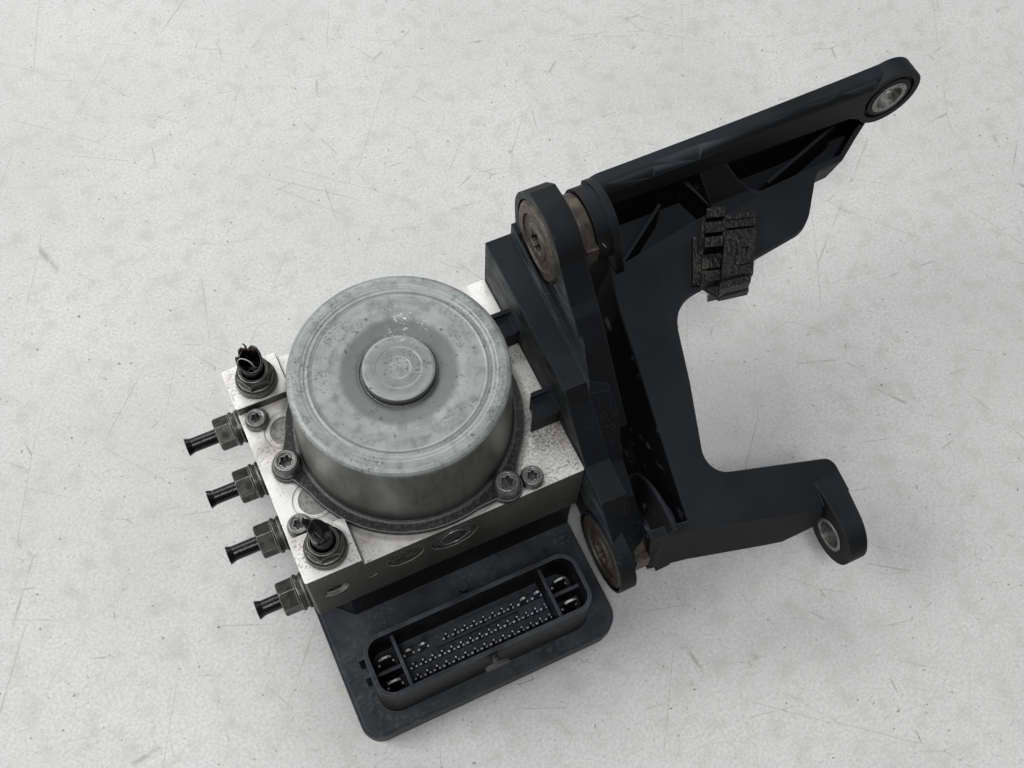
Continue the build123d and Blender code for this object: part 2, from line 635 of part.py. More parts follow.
def makeCarrier():
    wall = slabX([
        (towerBack, 30.5), (towerBack, ledgeTop), (-21.4, ledgeTop), (-25.5, 79.6), (-41.4, 62.5),
        (-53.6, 57.5), (-58.0, 50.0), (-58.0, 22.0), (-40.0, 26.0),
    ], carrierFace, 60.0)
    ledgeBack, ledgeFront = (ledgeRight, towerBack), (56.8, -24.0)
    besideBlock = [(carrierFace, 50), (carrierFace, -80), (60, -80), ledgeFront, ledgeBack, (60, 50)]
    ledge = slabZ(besideBlock, 20, 120)
    step = slabX([(towerBack, 60), (towerBack, 91.3), (-24.0, ledgeTop), (-24.0, 60)], 50.0, 62.0)
    step &= slabZ([ledgeBack, (62.0, towerBack), (62.0, -9.0), ledgeFront], 60, 95)
    boss = hullX([(34.0, 117.6), (38.0, 60.0)], upperBolt, 17.8, towerLeft, towerRight)
    slope = slabX([
        (38.0, 34.0), (38.0, 95.0), (14.0, 113.2), (0.0, 97.2), (-3.4, 94.4), (-11.0, 85.5),
        (-18.4, 76.2), (-31.6, 60.2), (-31.6, 34.0),
    ], towerLeft, towerRight)
    front = [
        (-10.0, 34.0), (-10.0, 82.0), (-22.8, 82.0), (-25.5, 79.6), (-41.4, 62.5), (-53.6, 57.5),
        (-65.2, 46.5), (-74.0, 38.0), (-74.0, 28.0),
    ]
    face = Plane.YZ.offset(carrierFace) * make_face(Polyline(*front, close=True))
    reach = (towerRight - carrierFace) * (1 + carrierTilt ** 2) ** 0.5
    arm = extrude(face, reach, dir=(1, 0, -carrierTilt))
    rightEdge = [
        (66.7, -10.0), (66.7, -31.0), (64.4, -38.0), (62.4, -55.0), (62.0, -65.8), (56.4, -68.4),
        (55.6, -71.5),
    ]
    plan = slabZ([(carrierFace, -10)] + rightEdge + [(carrierFace, -71.5)], 20, 90)
    body = (wall & ledge) + step + boss + slope + (arm & plan)
    body += block(52.0, towerLeft + 2.0, -28.0, 38.0, 34.0, 62.0)
    y, z = lowerBolt
    body += rodX(15.8, 47.4, lowerSeatX, y, z)
    body -= rodX(15.0, 46.0, 49.8, y, z)
    body -= rodX(lowerSpacerRadius + 0.4, lowerSeatX, 72.0, y, z)
    body -= slabX([(-80.0, 20.0), (-80.0, z), (-30.0, z), (-30.0, 20.0)], lowerSeatX, 72.0)
    body -= rodX(8.6, 46.0, 60.0, y, z)
    y, z = upperBolt
    body -= rodX(15.2, 59.0, 62.2, y, z)
    body -= rodX(9.0, 59.0, 71.0, y, z)
    body -= scoop()
    return body


def scoop():
    """Sloping hollow in the tower's left face, below the upper disc."""
    outline = [(20.0, 92.0), (33.0, 89.0), (26.0, 86.5), (-14.0, 86.0), (-3.0, 92.6), (8.0, 94.0)]
    face = Plane.YZ.offset(towerLeft - 1.0) * make_face(Polyline(*outline, close=True))
    return extrude(face, 2.2, dir=(1, 0, 0), taper=12)


def hookClip(y0, y1):
    """Hook over the block's top edge, hollowed round the motor's flange."""
    body = block(37.0, carrierFace + 1.0, y0, y1, blockTop, 70.4)
    body += block(37.0, carrierFace + 1.0, y1 - 1.6, y1, blockTop, 72.4)
    body += block(47.4, carrierFace + 1.0, y0, y1, blockTop, 71.4)
    body -= block(30.0, 46.6, y0 + 1.6, y1 - 1.6, blockTop - 1, 68.6)
    body -= post(43.2, blockTop - 1, 75)
    return body


save("inner_carrier", makeCarrier() + hookClip(-21.4, -12.2) + hookClip(12.0, 21.2))

# Isolators: disc-headed bolts, flanged spacers and rubber rings, along X
isolators = [
    (upperBolt, 60.0, towerRight, upperSpacerEnd, upperSpacerRadius, 84.4),
    (lowerBolt, 47.6, lowerSeatX, lowerSpacerEnd, lowerSpacerRadius, 74.0),
]


def isolatorBolt(spacer, reach):
    body = turned([
        (0, 0), (13.6, 0), (discRadius, 0.8), (discRadius, discThickness), (6.2, discThickness),
        (6.2, spacer), (4.0, spacer), (4.0, reach), (0, reach),
    ])
    body -= turned([(6.0, -1), (10.5, -1), (10.5, 0.7), (6.8, 0.7), (6.0, 0.0)])
    return body - starRecess(4.4, -1, 4.0)


def isolatorSpacer(length, radius):
    """Flanged sleeve with a groove behind the flange and a moulded lug."""
    flange = length * 0.3
    body = turned([
        (4.1, 0), (radius, 0), (radius, flange), (radius - 0.4, flange + 0.2),
        (radius - 0.1, flange + 0.4), (radius - 0.3, length * 0.92), (radius - 0.8, length),
        (4.1, length),
    ])
    return body + block(-4.6, 3.4, -radius - 0.9, -radius + 3.0, flange + 0.2, length - 0.2)


bolts, spacers, rubbers = [], [], []
for (y, z), start, wallEnd, spacerEnd, radius, boltEnd in isolators:
    seat = Pos(start, y, z) * Rot(0, 90, 0)
    bolts.append(seat * isolatorBolt(wallEnd - start, boltEnd - start))
    spacers.append(Pos(wallEnd, y, z) * Rot(0, 90, 0) * isolatorSpacer(spacerEnd - wallEnd, radius))
    length = wallEnd - start - discThickness
    rubber = turned([(6.25, 0), (8.5, 0), (8.5, length), (6.25, length)])
    rubbers.append(Pos(start + discThickness, y, z) * Rot(0, 90, 0) * rubber)
save("isolator_bolts", bolts)
save("isolator_spacers", spacers)
save("isolator_rubbers", rubbers)


# Outer bracket: sloping web on a turned-down left wall, two ribbed hollows behind the web, channelled
# upper arm with the eye, lower arm with the ear, and the seats of both isolators
bracketLeft = [(87.0, armBack), (86.0, 17.0), (83.1, 2.7), (81.2, -22.0), (76.4, -71.5)]
wallThickness = 3.0
wallDepth = 38.0
wallLean = 0.21  # the left wall's foot stands this far to the left for each millimetre of depth
hollowDepth = 14.0
hollowLean = (0.05, -0.23)
webRounds = {
    (135.2, -68.9): 5.0, (89.0, -57.4): 8.5, (101.8, -1.8): 13.0, (161.5, 5.4): 12.0, (173.6, 21.8): 8.0,
    (186.0, 23.4): 5.0,
}


def webPlan():
    """Outline from above: left wall, front fold, rounded end at the ear, window, tail under the eye."""
    points = bracketLeft + [
        (124.0, -82.6), (136.6, -81.0), (135.2, -68.9), (89.0, -57.4), (96.6, -27.8), (101.8, -1.8),
        (161.5, 5.4), (173.6, 21.8), (186.0, 23.4), (203.0, 33.6), (203.0, armBack),
    ]
    face = make_face(Polyline(*points, close=True))
    for (x, y), radius in webRounds.items():
        face = fillet([face.vertices().sort_by_distance((x, y, 0))[0]], radius)
    return face


def makeBracket():
    body = makeWeb()
    body += makeArm()
    body += endWall()
    body += ramp()
    body += frontFlange()
    body += lowerEar()
    body += lowerSeat()
    body += rodX(13.0, upperSpacerEnd, armLeft + 1.0, *upperBolt)
    body -= rodX(4.05, 60.0, 92.0, *upperBolt)
    body -= rodX(4.05, 60.0, 92.0, *lowerBolt)
    return body


def makeWeb():
    """Web with its left wall, the stiffening rib below its rim and the two hollows behind it."""
    plan = webPlan()
    body = extrude(plan, 160, dir=(0, 0, 1)) & webSlab(0, webThickness)
    ring = offset(plan, -3.5, kind=Kind.INTERSECTION) - offset(plan, -6.0, kind=Kind.INTERSECTION)
    body += extrude(ring, 160, dir=(0, 0, 1)) & webSlab(1.0, 11.0)
    body += leaningWall()
    for y in (-44.0, -20.0):
        cross = slabZ([(80.0, y - 6.0), (97.0, y + 4.0), (97.0, y + 6.0), (80.0, y - 4.0)], 0, 160)
        body += cross & webSlab(1.0, 11.0) & extrude(plan, 160, dir=(0, 0, 1))
    hollows = [
        [(91.4, 36.0), (90.4, 15.8), (121.5, 21.0), (130.5, 21.8), (123.0, 36.0)],
        [(133.0, 36.0), (149.6, 22.4), (185.0, 24.4), (198.0, 33.6), (198.0, 36.0)],
    ]
    for points in hollows:
        outline = offset(make_face(Polyline(*points, close=True)), 2.0, kind=Kind.INTERSECTION)
        body += leaned(outline) & webSlab(1.0, hollowDepth + 2.5)
    for points in hollows:
        outline = make_face(Polyline(*points, close=True))
        body -= leaned(outline) & webSlab(-4.0, hollowDepth)
    for start, end in (((91.0, 17.0), (112.0, 30.3)), ((154.0, 24.4), (188.0, 34.6))):
        body += ribBetween(start, end, 1.1) & webSlab(0.0, hollowDepth + 0.5)
    return body & slabY([(60, 0), (60, 160), (210, 160), (210, 0)], -100, armBack)


def leaned(outline):
    """Pocket's outline at the web's height, carried down and back, and up the opposite way."""
    level = Pos(0, 0, webAt(22.0)) * outline
    x, y = hollowLean
    return extrude(level, 30, dir=(-x, -y, -1)) + extrude(level, 20, dir=(x, y, 1))


def leaningWall():
    """Left wall below the web, its foot standing further left than its top."""
    body = None
    for (x0, y0), (x1, y1) in zip(bracketLeft, bracketLeft[1:]):
        rings = []
        for depth in (1.0, wallDepth):
            start = Vector(x0 - wallLean * depth, y0, webAt(y0) - depth)
            end = Vector(x1 - wallLean * depth, y1, webAt(y1) - depth)
            across = Vector(wallThickness, 0, 0)
            rings.append(make_face(Polyline(start, start + across, end + across, end, close=True)))
        piece = loft(rings)
        body = piece if body is None else body + piece
    return body


def ribBetween(start, end, thickness):
    """Thin upright rib between two places seen from above."""
    (x0, y0), (x1, y1) = start, end
    length = ((x1 - x0) ** 2 + (y1 - y0) ** 2) ** 0.5
    dx = (y1 - y0) / length * thickness / 2
    dy = (x1 - x0) / length * thickness / 2
    return slabZ([(x0 - dx, y0 + dy), (x1 - dx, y1 + dy), (x1 + dx, y1 - dy), (x0 + dx, y0 - dy)], 0, 160)


def makeArm():
    """Channel open at the bottom, with a rounded left end, ending in the eye."""
    x, z = eyePlace
    end = (x - 0.5, armFront, z + eyeRadius - 0.6)
    start = (armLeft, armFront, armTop)
    curve = ThreePointArc(start, ((armLeft + x) / 2, armFront, armTop + 1.0), end)
    rest = Polyline(end, (x, armFront, z), (196.0, armFront, 92.5), (189.0, armFront, armLipRight),
                    (armLeft, armFront, armLipLeft), start)
    bar = extrude(make_face([curve, rest]), armBack - armFront, dir=(0, 1, 0))
    corner = bar.edges().filter_by(Axis.Y).sort_by_distance((armLeft, armFront, armTop))[0]
    bar = fillet([corner], 6.5)
    rim = [edge for edge in bar.edges() if edge.center().Y < armFront + 0.01 and edge.length > 4]
    rim = [edge for edge in rim if edge.center().X < 150 and edge.center().Z > armLipLeft + 1]
    bar = fillet(rim, 3.6)
    inside = armLeft + 4.0
    backWall = armBack - 2.8
    bar -= slabY([(inside, 90), (inside, armTop - 4), (186, 109.8), (186, 90)], armFront + 3, backWall)
    back = [
        (inside, 66.0), (150.0, 70.0), (194.0, 84.0), (x - 4, 98.0), (x - 6, 108.0),
        (armLeft + 2, armTop - 2),
    ]
    bar += slabY(back, backWall, armBack)
    for place in (110.0, 130.0, 150.0, 170.0):
        bar += block(place - 0.8, place + 0.8, armFront + 2, armBack - 1, armLipLeft + 1.5, armTop - 2)
    eye = rodY(eyeRadius, armFront, armBack, x, z)
    bar += eye
    bar -= rodY(10.3, armFront - 1, armFront + 1.5, x, z) - rodY(8.7, armFront - 2, armFront + 2, x, z)
    return bar - rodY(sleeveRadius + 0.05, armFront - 1, armBack + 5, x, z)


def endWall():
    """Wall that carries the upper isolator's boss and leans down to the web's left edge."""
    top, foot = 101.0, webAt(14.0) - 2.0
    corners = [(14.0, foot), (armBack, webAt(armBack) - 2.0), (armBack, 106.0)]
    profile = hullX(corners, upperBolt, 14.2, 76, 100)
    lean = slabY([
        (armLeft, 120.0), (armLeft, top), (87.4, foot), (90.6, foot), (armLeft + 2.6, top),
        (armLeft + 2.6, 120.0),
    ], 0, armBack)
    return profile & lean


def ramp():
    """Fairing from the web up to the arm's lip, between the two hollows."""
    start = webAt(19.5)
    lip = armLipLeft + 0.6
    profile = [
        (19.5, start - 3.0), (19.5, start), (23.5, webAt(23.5) + 1.0), (armFront + 1.5, lip),
        (armBack - 1, lip), (armBack - 1, start - 3.0),
    ]
    plan = slabZ([(131.5, 19.0), (149.6, 21.0), (141.0, 27.0), (131.5, 36.8), (124.0, 36.8)], 60, 120)
    return slabX(profile, 118.0, 150.0) & plan


def frontFlange():
    """Wall turned down and outwards below the lower arm's front fold, cut rising towards the ear."""
    fold = [(61.5, -69.2), (76.4, -71.5), (124.0, -82.6)]
    strip = slabZ(fold + [(124.0, -79.4), (76.8, -68.4), (61.5, -66.1)], 0, 1)
    lean = (0, -0.16, -1)
    wall = extrude(strip.faces().sort_by(Axis.Z)[0].moved(Pos(0, 0, webAt(-69.4) + 1)), 26, dir=lean)
    keep = slabY([(58, 24.5), (112, 22.0), (126, 32.0), (126, 60), (58, 60)], -100, -50)
    return (wall & keep) - webSlab(-40, 0.0)


def lowerEar():
    y, z = earPlace
    root = [(-74.0, 38.0), (-74.0, webAt(-74.0)), (-80.0, webAt(-80.0))]
    plate = hullX(root, earPlace, 12.0, earLeft, 137.0)
    right = [(earRight - 0.6, -104.0), (135.6, -76.0), (135.2, -70.0)]
    plan = slabZ([(earLeft, -70.0), (earLeft, -104.0)] + right, 10, 60)
    return (plate & plan) - rodX(6.55, earLeft - 1, earRight + 5, y, z)


def lowerSeat():
    """Boss of the lower isolator with its flared bump plate, standing on the left wall."""
    y, z = lowerBolt
    cone = [(0, 62.8), (11.0, 62.8), (12.4, 64.4), (20.4, 69.2), (21.0, 69.8), (21.0, 70.8), (0, 70.8)]
    plate = Pos(0, y, z) * Rot(0, 90, 0) * turned(cone)
    outline = [(-30.0, 21.0), (-30.0, 60.0), (-70.2, 60.0), (-70.2, 46.8), (-74.2, 21.0)]
    behindFlange = slabX(outline, 60, 90)
    body = rodX(8.8, lowerSpacerEnd, 78.2, y, z)
    body += plate & behindFlange
    return body


save("outer_bracket", makeBracket())

# Sleeves pressed into the bracket's two eyes
upperSleeve = rodY(sleeveRadius, armFront - 0.3, armBack + 1.0, *eyePlace)
save("eye_sleeve", upperSleeve - rodY(sleeveBore, armFront - 1, armBack + 3, *eyePlace))
lowerSleeve = rodX(6.5, earLeft - 0.4, earRight + 0.4, *earPlace)
save("ear_sleeve", lowerSleeve - rodX(sleeveBore, earLeft - 2, earRight + 2, *earPlace))


# Cable clip on the web: plate, latch block with a raised tongue, ribbed grip, worn cushions, and a hook
# over the web's edge
def onWeb(points, bottom, top):
    """Outline seen from above, carried between two heights over the web."""
    return slabZ(points, 40, 140) & webSlab(-top, -bottom)


def makeClip():
    plate = [
        (111.6, 1.5), (118.5, -5.6), (134.0, -3.2), (142.6, 12.0), (144.6, 15.8), (131.6, 18.6),
        (124.6, 20.4),
    ]
    body = onWeb(plate, 0.0, 1.6)
    body += onWeb([(119.6, -3.0), (131.6, -4.6), (138.2, 6.4), (126.8, 9.0)], 1.0, 8.0)
    body += onWeb([(118.4, -5.2), (130.4, -6.6), (132.0, -4.2), (120.0, -2.6)], 1.0, 5.0)
    body += onWeb([(127.0, -1.6), (132.8, -2.4), (137.0, 4.8), (131.0, 6.2)], 8.0, 9.4)
    body -= onWeb([(128.8, 0.4), (131.6, 0.0), (133.2, 2.8), (130.2, 3.4)], 8.6, 12.0)
    for step, height in enumerate((6.0, 3.4, 6.6, 5.2, 4.4)):
        x, y = 113.0 + step * 2.9, -1.0 + step * 4.9
        body += onWeb([(x, y), (x + 6.6, y - 1.6), (x + 8.2, y + 1.4), (x + 1.6, y + 3.0)], 1.0, height)
    for step in range(3):
        x, y = 129.4 + step * 1.3, 10.6 + step * 3.0
        cushion = [(x, y), (x + 11.0, y - 2.6), (x + 11.6, y - 1.0), (x + 0.6, y + 1.6)]
        body += onWeb(cushion, 1.0, 3.6 - step * 0.6)
    body += onWeb([(110.8, 0.8), (112.4, 0.6), (119.0, 14.6), (117.6, 15.0)], 0.0, 3.4)
    body += onWeb([(117.0, 2.6), (121.6, -3.8), (132.8, -5.4), (134.4, -1.4), (133.4, 3.2)], -8.0, -5.0)
    body += onWeb([(117.4, -2.6), (132.4, -4.4), (133.4, 0.8), (118.0, -0.8)], -8.0, 1.0)
    return body - clipSlot()


def clipSlot():
    """The web's own thickness, which the hook reaches round."""
    return extrude(webPlan(), 160, dir=(0, 0, 1)) & webSlab(0.0, webThickness + 0.3)


save("cable_clip", makeClip())
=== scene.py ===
import math

import bpy
import numpy as np
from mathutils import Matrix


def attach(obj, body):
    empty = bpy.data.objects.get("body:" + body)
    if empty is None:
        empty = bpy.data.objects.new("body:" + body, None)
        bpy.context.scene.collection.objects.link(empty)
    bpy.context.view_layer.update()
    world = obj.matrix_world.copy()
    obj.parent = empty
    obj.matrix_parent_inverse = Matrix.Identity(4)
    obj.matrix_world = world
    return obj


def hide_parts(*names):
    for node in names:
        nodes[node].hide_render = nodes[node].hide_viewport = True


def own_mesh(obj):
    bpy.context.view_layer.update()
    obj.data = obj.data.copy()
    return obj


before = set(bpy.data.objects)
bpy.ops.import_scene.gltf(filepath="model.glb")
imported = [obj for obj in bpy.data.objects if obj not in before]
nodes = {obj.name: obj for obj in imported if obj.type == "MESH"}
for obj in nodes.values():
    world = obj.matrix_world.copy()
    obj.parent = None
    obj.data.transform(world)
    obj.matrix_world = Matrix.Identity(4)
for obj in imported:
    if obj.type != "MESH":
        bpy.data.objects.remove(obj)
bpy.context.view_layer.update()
scene = bpy.context.scene
mm = 0.001
print("frame loaded:", len(nodes), "nodes")


def linearColour(code):
    # sRGB hex to linear, by the standard curve's power of 2.4 above its foot
    parts = [int(code[i:i + 2], 16) / 255 for i in (0, 2, 4)]
    return [p / 12.92 if p <= 0.04045 else ((p + 0.055) / 1.055) ** 2.4 for p in parts] + [1.0]


def add(tree, kind, settings=None, links=None):
    # one node: settings are attributes or socket values, links join outputs to its sockets
    node = tree.nodes.new(kind)
    for name, value in (settings or {}).items():
        if isinstance(name, str) and hasattr(node, name):
            setattr(node, name, value)
        else:
            node.inputs[name].default_value = value
    for name, source in (links or {}).items():
        tree.links.new(source, node.inputs[name])
    return node


# Camera
cameraPlan = {"place": (-45.15, -157.73, 416.92), "turn": (26.504, -1.748, -25.039), "lens": 39.68}
cameraData = bpy.data.cameras.new("camera")
cameraData.lens = cameraPlan["lens"]
cameraData.sensor_width = 36.0
cameraData.clip_start = 0.01
camera = bpy.data.objects.new("camera", cameraData)
camera.location = [v * mm for v in cameraPlan["place"]]
camera.rotation_euler = [math.radians(v) for v in cameraPlan["turn"]]
scene.collection.objects.link(camera)
scene.camera = camera

# Light: soft lamps high to the left and behind, weaker ones to the right, and dim pale surroundings
lightPlan = {
    "lamps": {
        "window": {"place": (-1.8, 0.7, 1.5), "size": 1.4, "power": 40.0},
        "rear": {"place": (0.3, 2.4, 2.0), "size": 1.6, "power": 42.0},
        "right": {"place": (2.2, -0.1, 1.7), "size": 1.4, "power": 5.0},
        "above": {"place": (-0.5, -0.9, 2.6), "size": 0.7, "power": 28.0},
    },
    "aim": (0.03, 0.0, 0.04),
    "world": {"colour": "eef1f4", "strength": 0.165, "seen": 0.8},
}
for name, plan in lightPlan["lamps"].items():
    lamp = bpy.data.lights.new(name, "AREA")
    lamp.size = plan["size"]
    lamp.energy = plan["power"]
    holder = bpy.data.objects.new(name, lamp)
    holder.location = plan["place"]
    aim = np.array(lightPlan["aim"]) - np.array(plan["place"])
    flat = math.hypot(aim[0], aim[1])
    holder.rotation_euler = (math.atan2(flat, -aim[2]), 0.0, math.atan2(aim[1], aim[0]) - math.pi / 2)
    scene.collection.objects.link(holder)

world = bpy.data.worlds.new("surroundings")
world.use_nodes = True
scene.world = world
background = world.node_tree.nodes["Background"]
background.inputs["Color"].default_value = linearColour(lightPlan["world"]["colour"])
seen = add(world.node_tree, "ShaderNodeLightPath").outputs["Is Camera Ray"]
glow = add(world.node_tree, "ShaderNodeMapRange", {
    "To Min": lightPlan["world"]["strength"], "To Max": lightPlan["world"]["seen"]}, {"Value": seen})
world.node_tree.links.new(glow.outputs[0], background.inputs["Strength"])
scene.view_settings.view_transform = "Standard"
print("camera and light set")


def layerMask(tree, place, layer):
    # strength from 0 to 1 of one layer of a finish, by its kind
    kind = layer["kind"]
    size = layer.get("size", 1.0) * mm
    low, high = layer.get("range", (0.45, 0.6))
    if "turn" in layer:  # radians round Z
        place = add(tree, "ShaderNodeVectorRotate", {"rotation_type": "Z_AXIS", "Angle": layer["turn"]},
                    {"Vector": place}).outputs[0]
    if "stretch" in layer:
        scale = {"operation": "MULTIPLY", 1: layer["stretch"]}
        place = add(tree, "ShaderNodeVectorMath", scale, {0: place}).outputs[0]
    if kind == "edge":  # rounded normal against the true one: only edges differ
        bevel = add(tree, "ShaderNodeBevel", {"samples": 4, "Radius": size})
        true = add(tree, "ShaderNodeNewGeometry").outputs["True Normal"]
        dot = {"operation": "DOT_PRODUCT"}
        value = add(tree, "ShaderNodeVectorMath", dot, {0: bevel.outputs[0], 1: true}).outputs["Value"]
    elif kind == "crevice":  # how enclosed the surface is within the size
        value = add(tree, "ShaderNodeAmbientOcclusion", {"samples": 4, "Distance": size}).outputs["AO"]
    elif kind == "facing":  # how far the surface faces a direction
        true = add(tree, "ShaderNodeNewGeometry").outputs["True Normal"]
        dot = {"operation": "DOT_PRODUCT", 1: layer["toward"]}
        value = add(tree, "ShaderNodeVectorMath", dot, {0: true}).outputs["Value"]
    elif kind in ("rings", "band"):  # distance from an axis: turning marks, or a band between two radii
        centre = [v * mm for v in layer.get("centre", (0, 0, 0))]
        flatten = {"operation": "MULTIPLY", 1: layer.get("across", (1, 1, 0))}
        moved = add(tree, "ShaderNodeVectorMath", {"operation": "SUBTRACT", 1: centre}, {0: place})
        flat = add(tree, "ShaderNodeVectorMath", flatten, {0: moved.outputs[0]})
        distance = add(tree, "ShaderNodeVectorMath", {"operation": "LENGTH"}, {0: flat.outputs[0]})
        value = distance.outputs["Value"]
        if kind == "rings":
            noise = {"noise_dimensions": "1D", "Scale": 1 / size, "Detail": 3.0}
            value = add(tree, "ShaderNodeTexNoise", noise, {"W": value}).outputs[0]
        else:  # 1 at the middle radius, 0 at half the width away
            middle, half = layer["radius"] * mm, layer["width"] / 2 * mm
            off = add(tree, "ShaderNodeMath", {"operation": "SUBTRACT", 1: middle}, {0: value})
            value = add(tree, "ShaderNodeMath", {"operation": "ABSOLUTE"}, {0: off.outputs[0]}).outputs[0]
            low, high = half, half * layer.get("core", 0.3)
    elif kind == "height":  # between two heights, in millimetres
        value = add(tree, "ShaderNodeSeparateXYZ", {}, {0: place}).outputs[layer.get("along", 2)]
        low, high = low * mm, high * mm
    elif kind == "cracks":  # thin lines between cells
        cells = {"feature": "DISTANCE_TO_EDGE", "Scale": 1 / size}
        value = add(tree, "ShaderNodeTexVoronoi", cells, {"Vector": place}).outputs[0]
    else:  # cloud, or streak where it is stretched
        noise = {"Scale": 1 / size, "Detail": 4.0, "Roughness": 0.55}
        value = add(tree, "ShaderNodeTexNoise", noise, {"Vector": place}).outputs[0]
    window = {"From Min": low, "From Max": high, "To Min": 0.0, "To Max": layer.get("strength", 1.0)}
    mask = add(tree, "ShaderNodeMapRange", window, {"Value": value}).outputs[0]
    if "within" in layer:
        inner = layerMask(tree, place, layer["within"])
        mask = add(tree, "ShaderNodeMath", {"operation": "MULTIPLY"}, {0: mask, 1: inner}).outputs[0]
    return mask


def makeFinish(name, plan):
    # base colour under its layers, roughness that varies, and fine relief
    material = bpy.data.materials.new(name)
    material.use_nodes = True
    tree = material.node_tree
    shader = tree.nodes["Principled BSDF"]
    place = add(tree, "ShaderNodeTexCoord").outputs["Object"]
    shader.inputs["Base Color"].default_value = linearColour(plan["base"])
    shader.inputs["Metallic"].default_value = plan.get("metallic", 0.0)
    shader.inputs["Roughness"].default_value = plan.get("roughness", 0.5)
    if "ior" in plan:
        shader.inputs["IOR"].default_value = plan["ior"]
    shader.inputs["Specular IOR Level"].default_value = plan.get("sheen", 0.5)
    colour, rough = None, None
    for layer in plan.get("layers", []):
        mask = layerMask(tree, place, layer)
        if "colour" in layer:
            mix = add(tree, "ShaderNodeMix", {"data_type": "RGBA"}, {0: mask})
            mix.inputs[6].default_value = linearColour(plan["base"])
            mix.inputs[7].default_value = linearColour(layer["colour"])
            if colour is not None:
                tree.links.new(colour, mix.inputs[6])
            colour = mix.outputs[2]
        if "rough" in layer:
            mix = add(tree, "ShaderNodeMix", {"data_type": "FLOAT"}, {0: mask})
            mix.inputs[2].default_value = plan.get("roughness", 0.5)
            mix.inputs[3].default_value = layer["rough"]
            if rough is not None:
                tree.links.new(rough, mix.inputs[2])
            rough = mix.outputs[0]
    if colour is not None:
        tree.links.new(colour, shader.inputs["Base Color"])
    if rough is not None:
        tree.links.new(rough, shader.inputs["Roughness"])
    normal = None
    if "round" in plan:
        rounding = {"samples": 4, "Radius": plan["round"] * mm}
        normal = add(tree, "ShaderNodeBevel", rounding).outputs[0]
    for relief in plan.get("relief", []):
        mask = layerMask(tree, place, relief)
        push = {"Strength": relief["push"], "Distance": relief["depth"] * mm}
        bump = add(tree, "ShaderNodeBump", push, {"Height": mask})
        if normal is not None:
            tree.links.new(normal, bump.inputs["Normal"])
        normal = bump.outputs[0]
    if normal is not None:
        tree.links.new(normal, shader.inputs["Normal"])
    return material


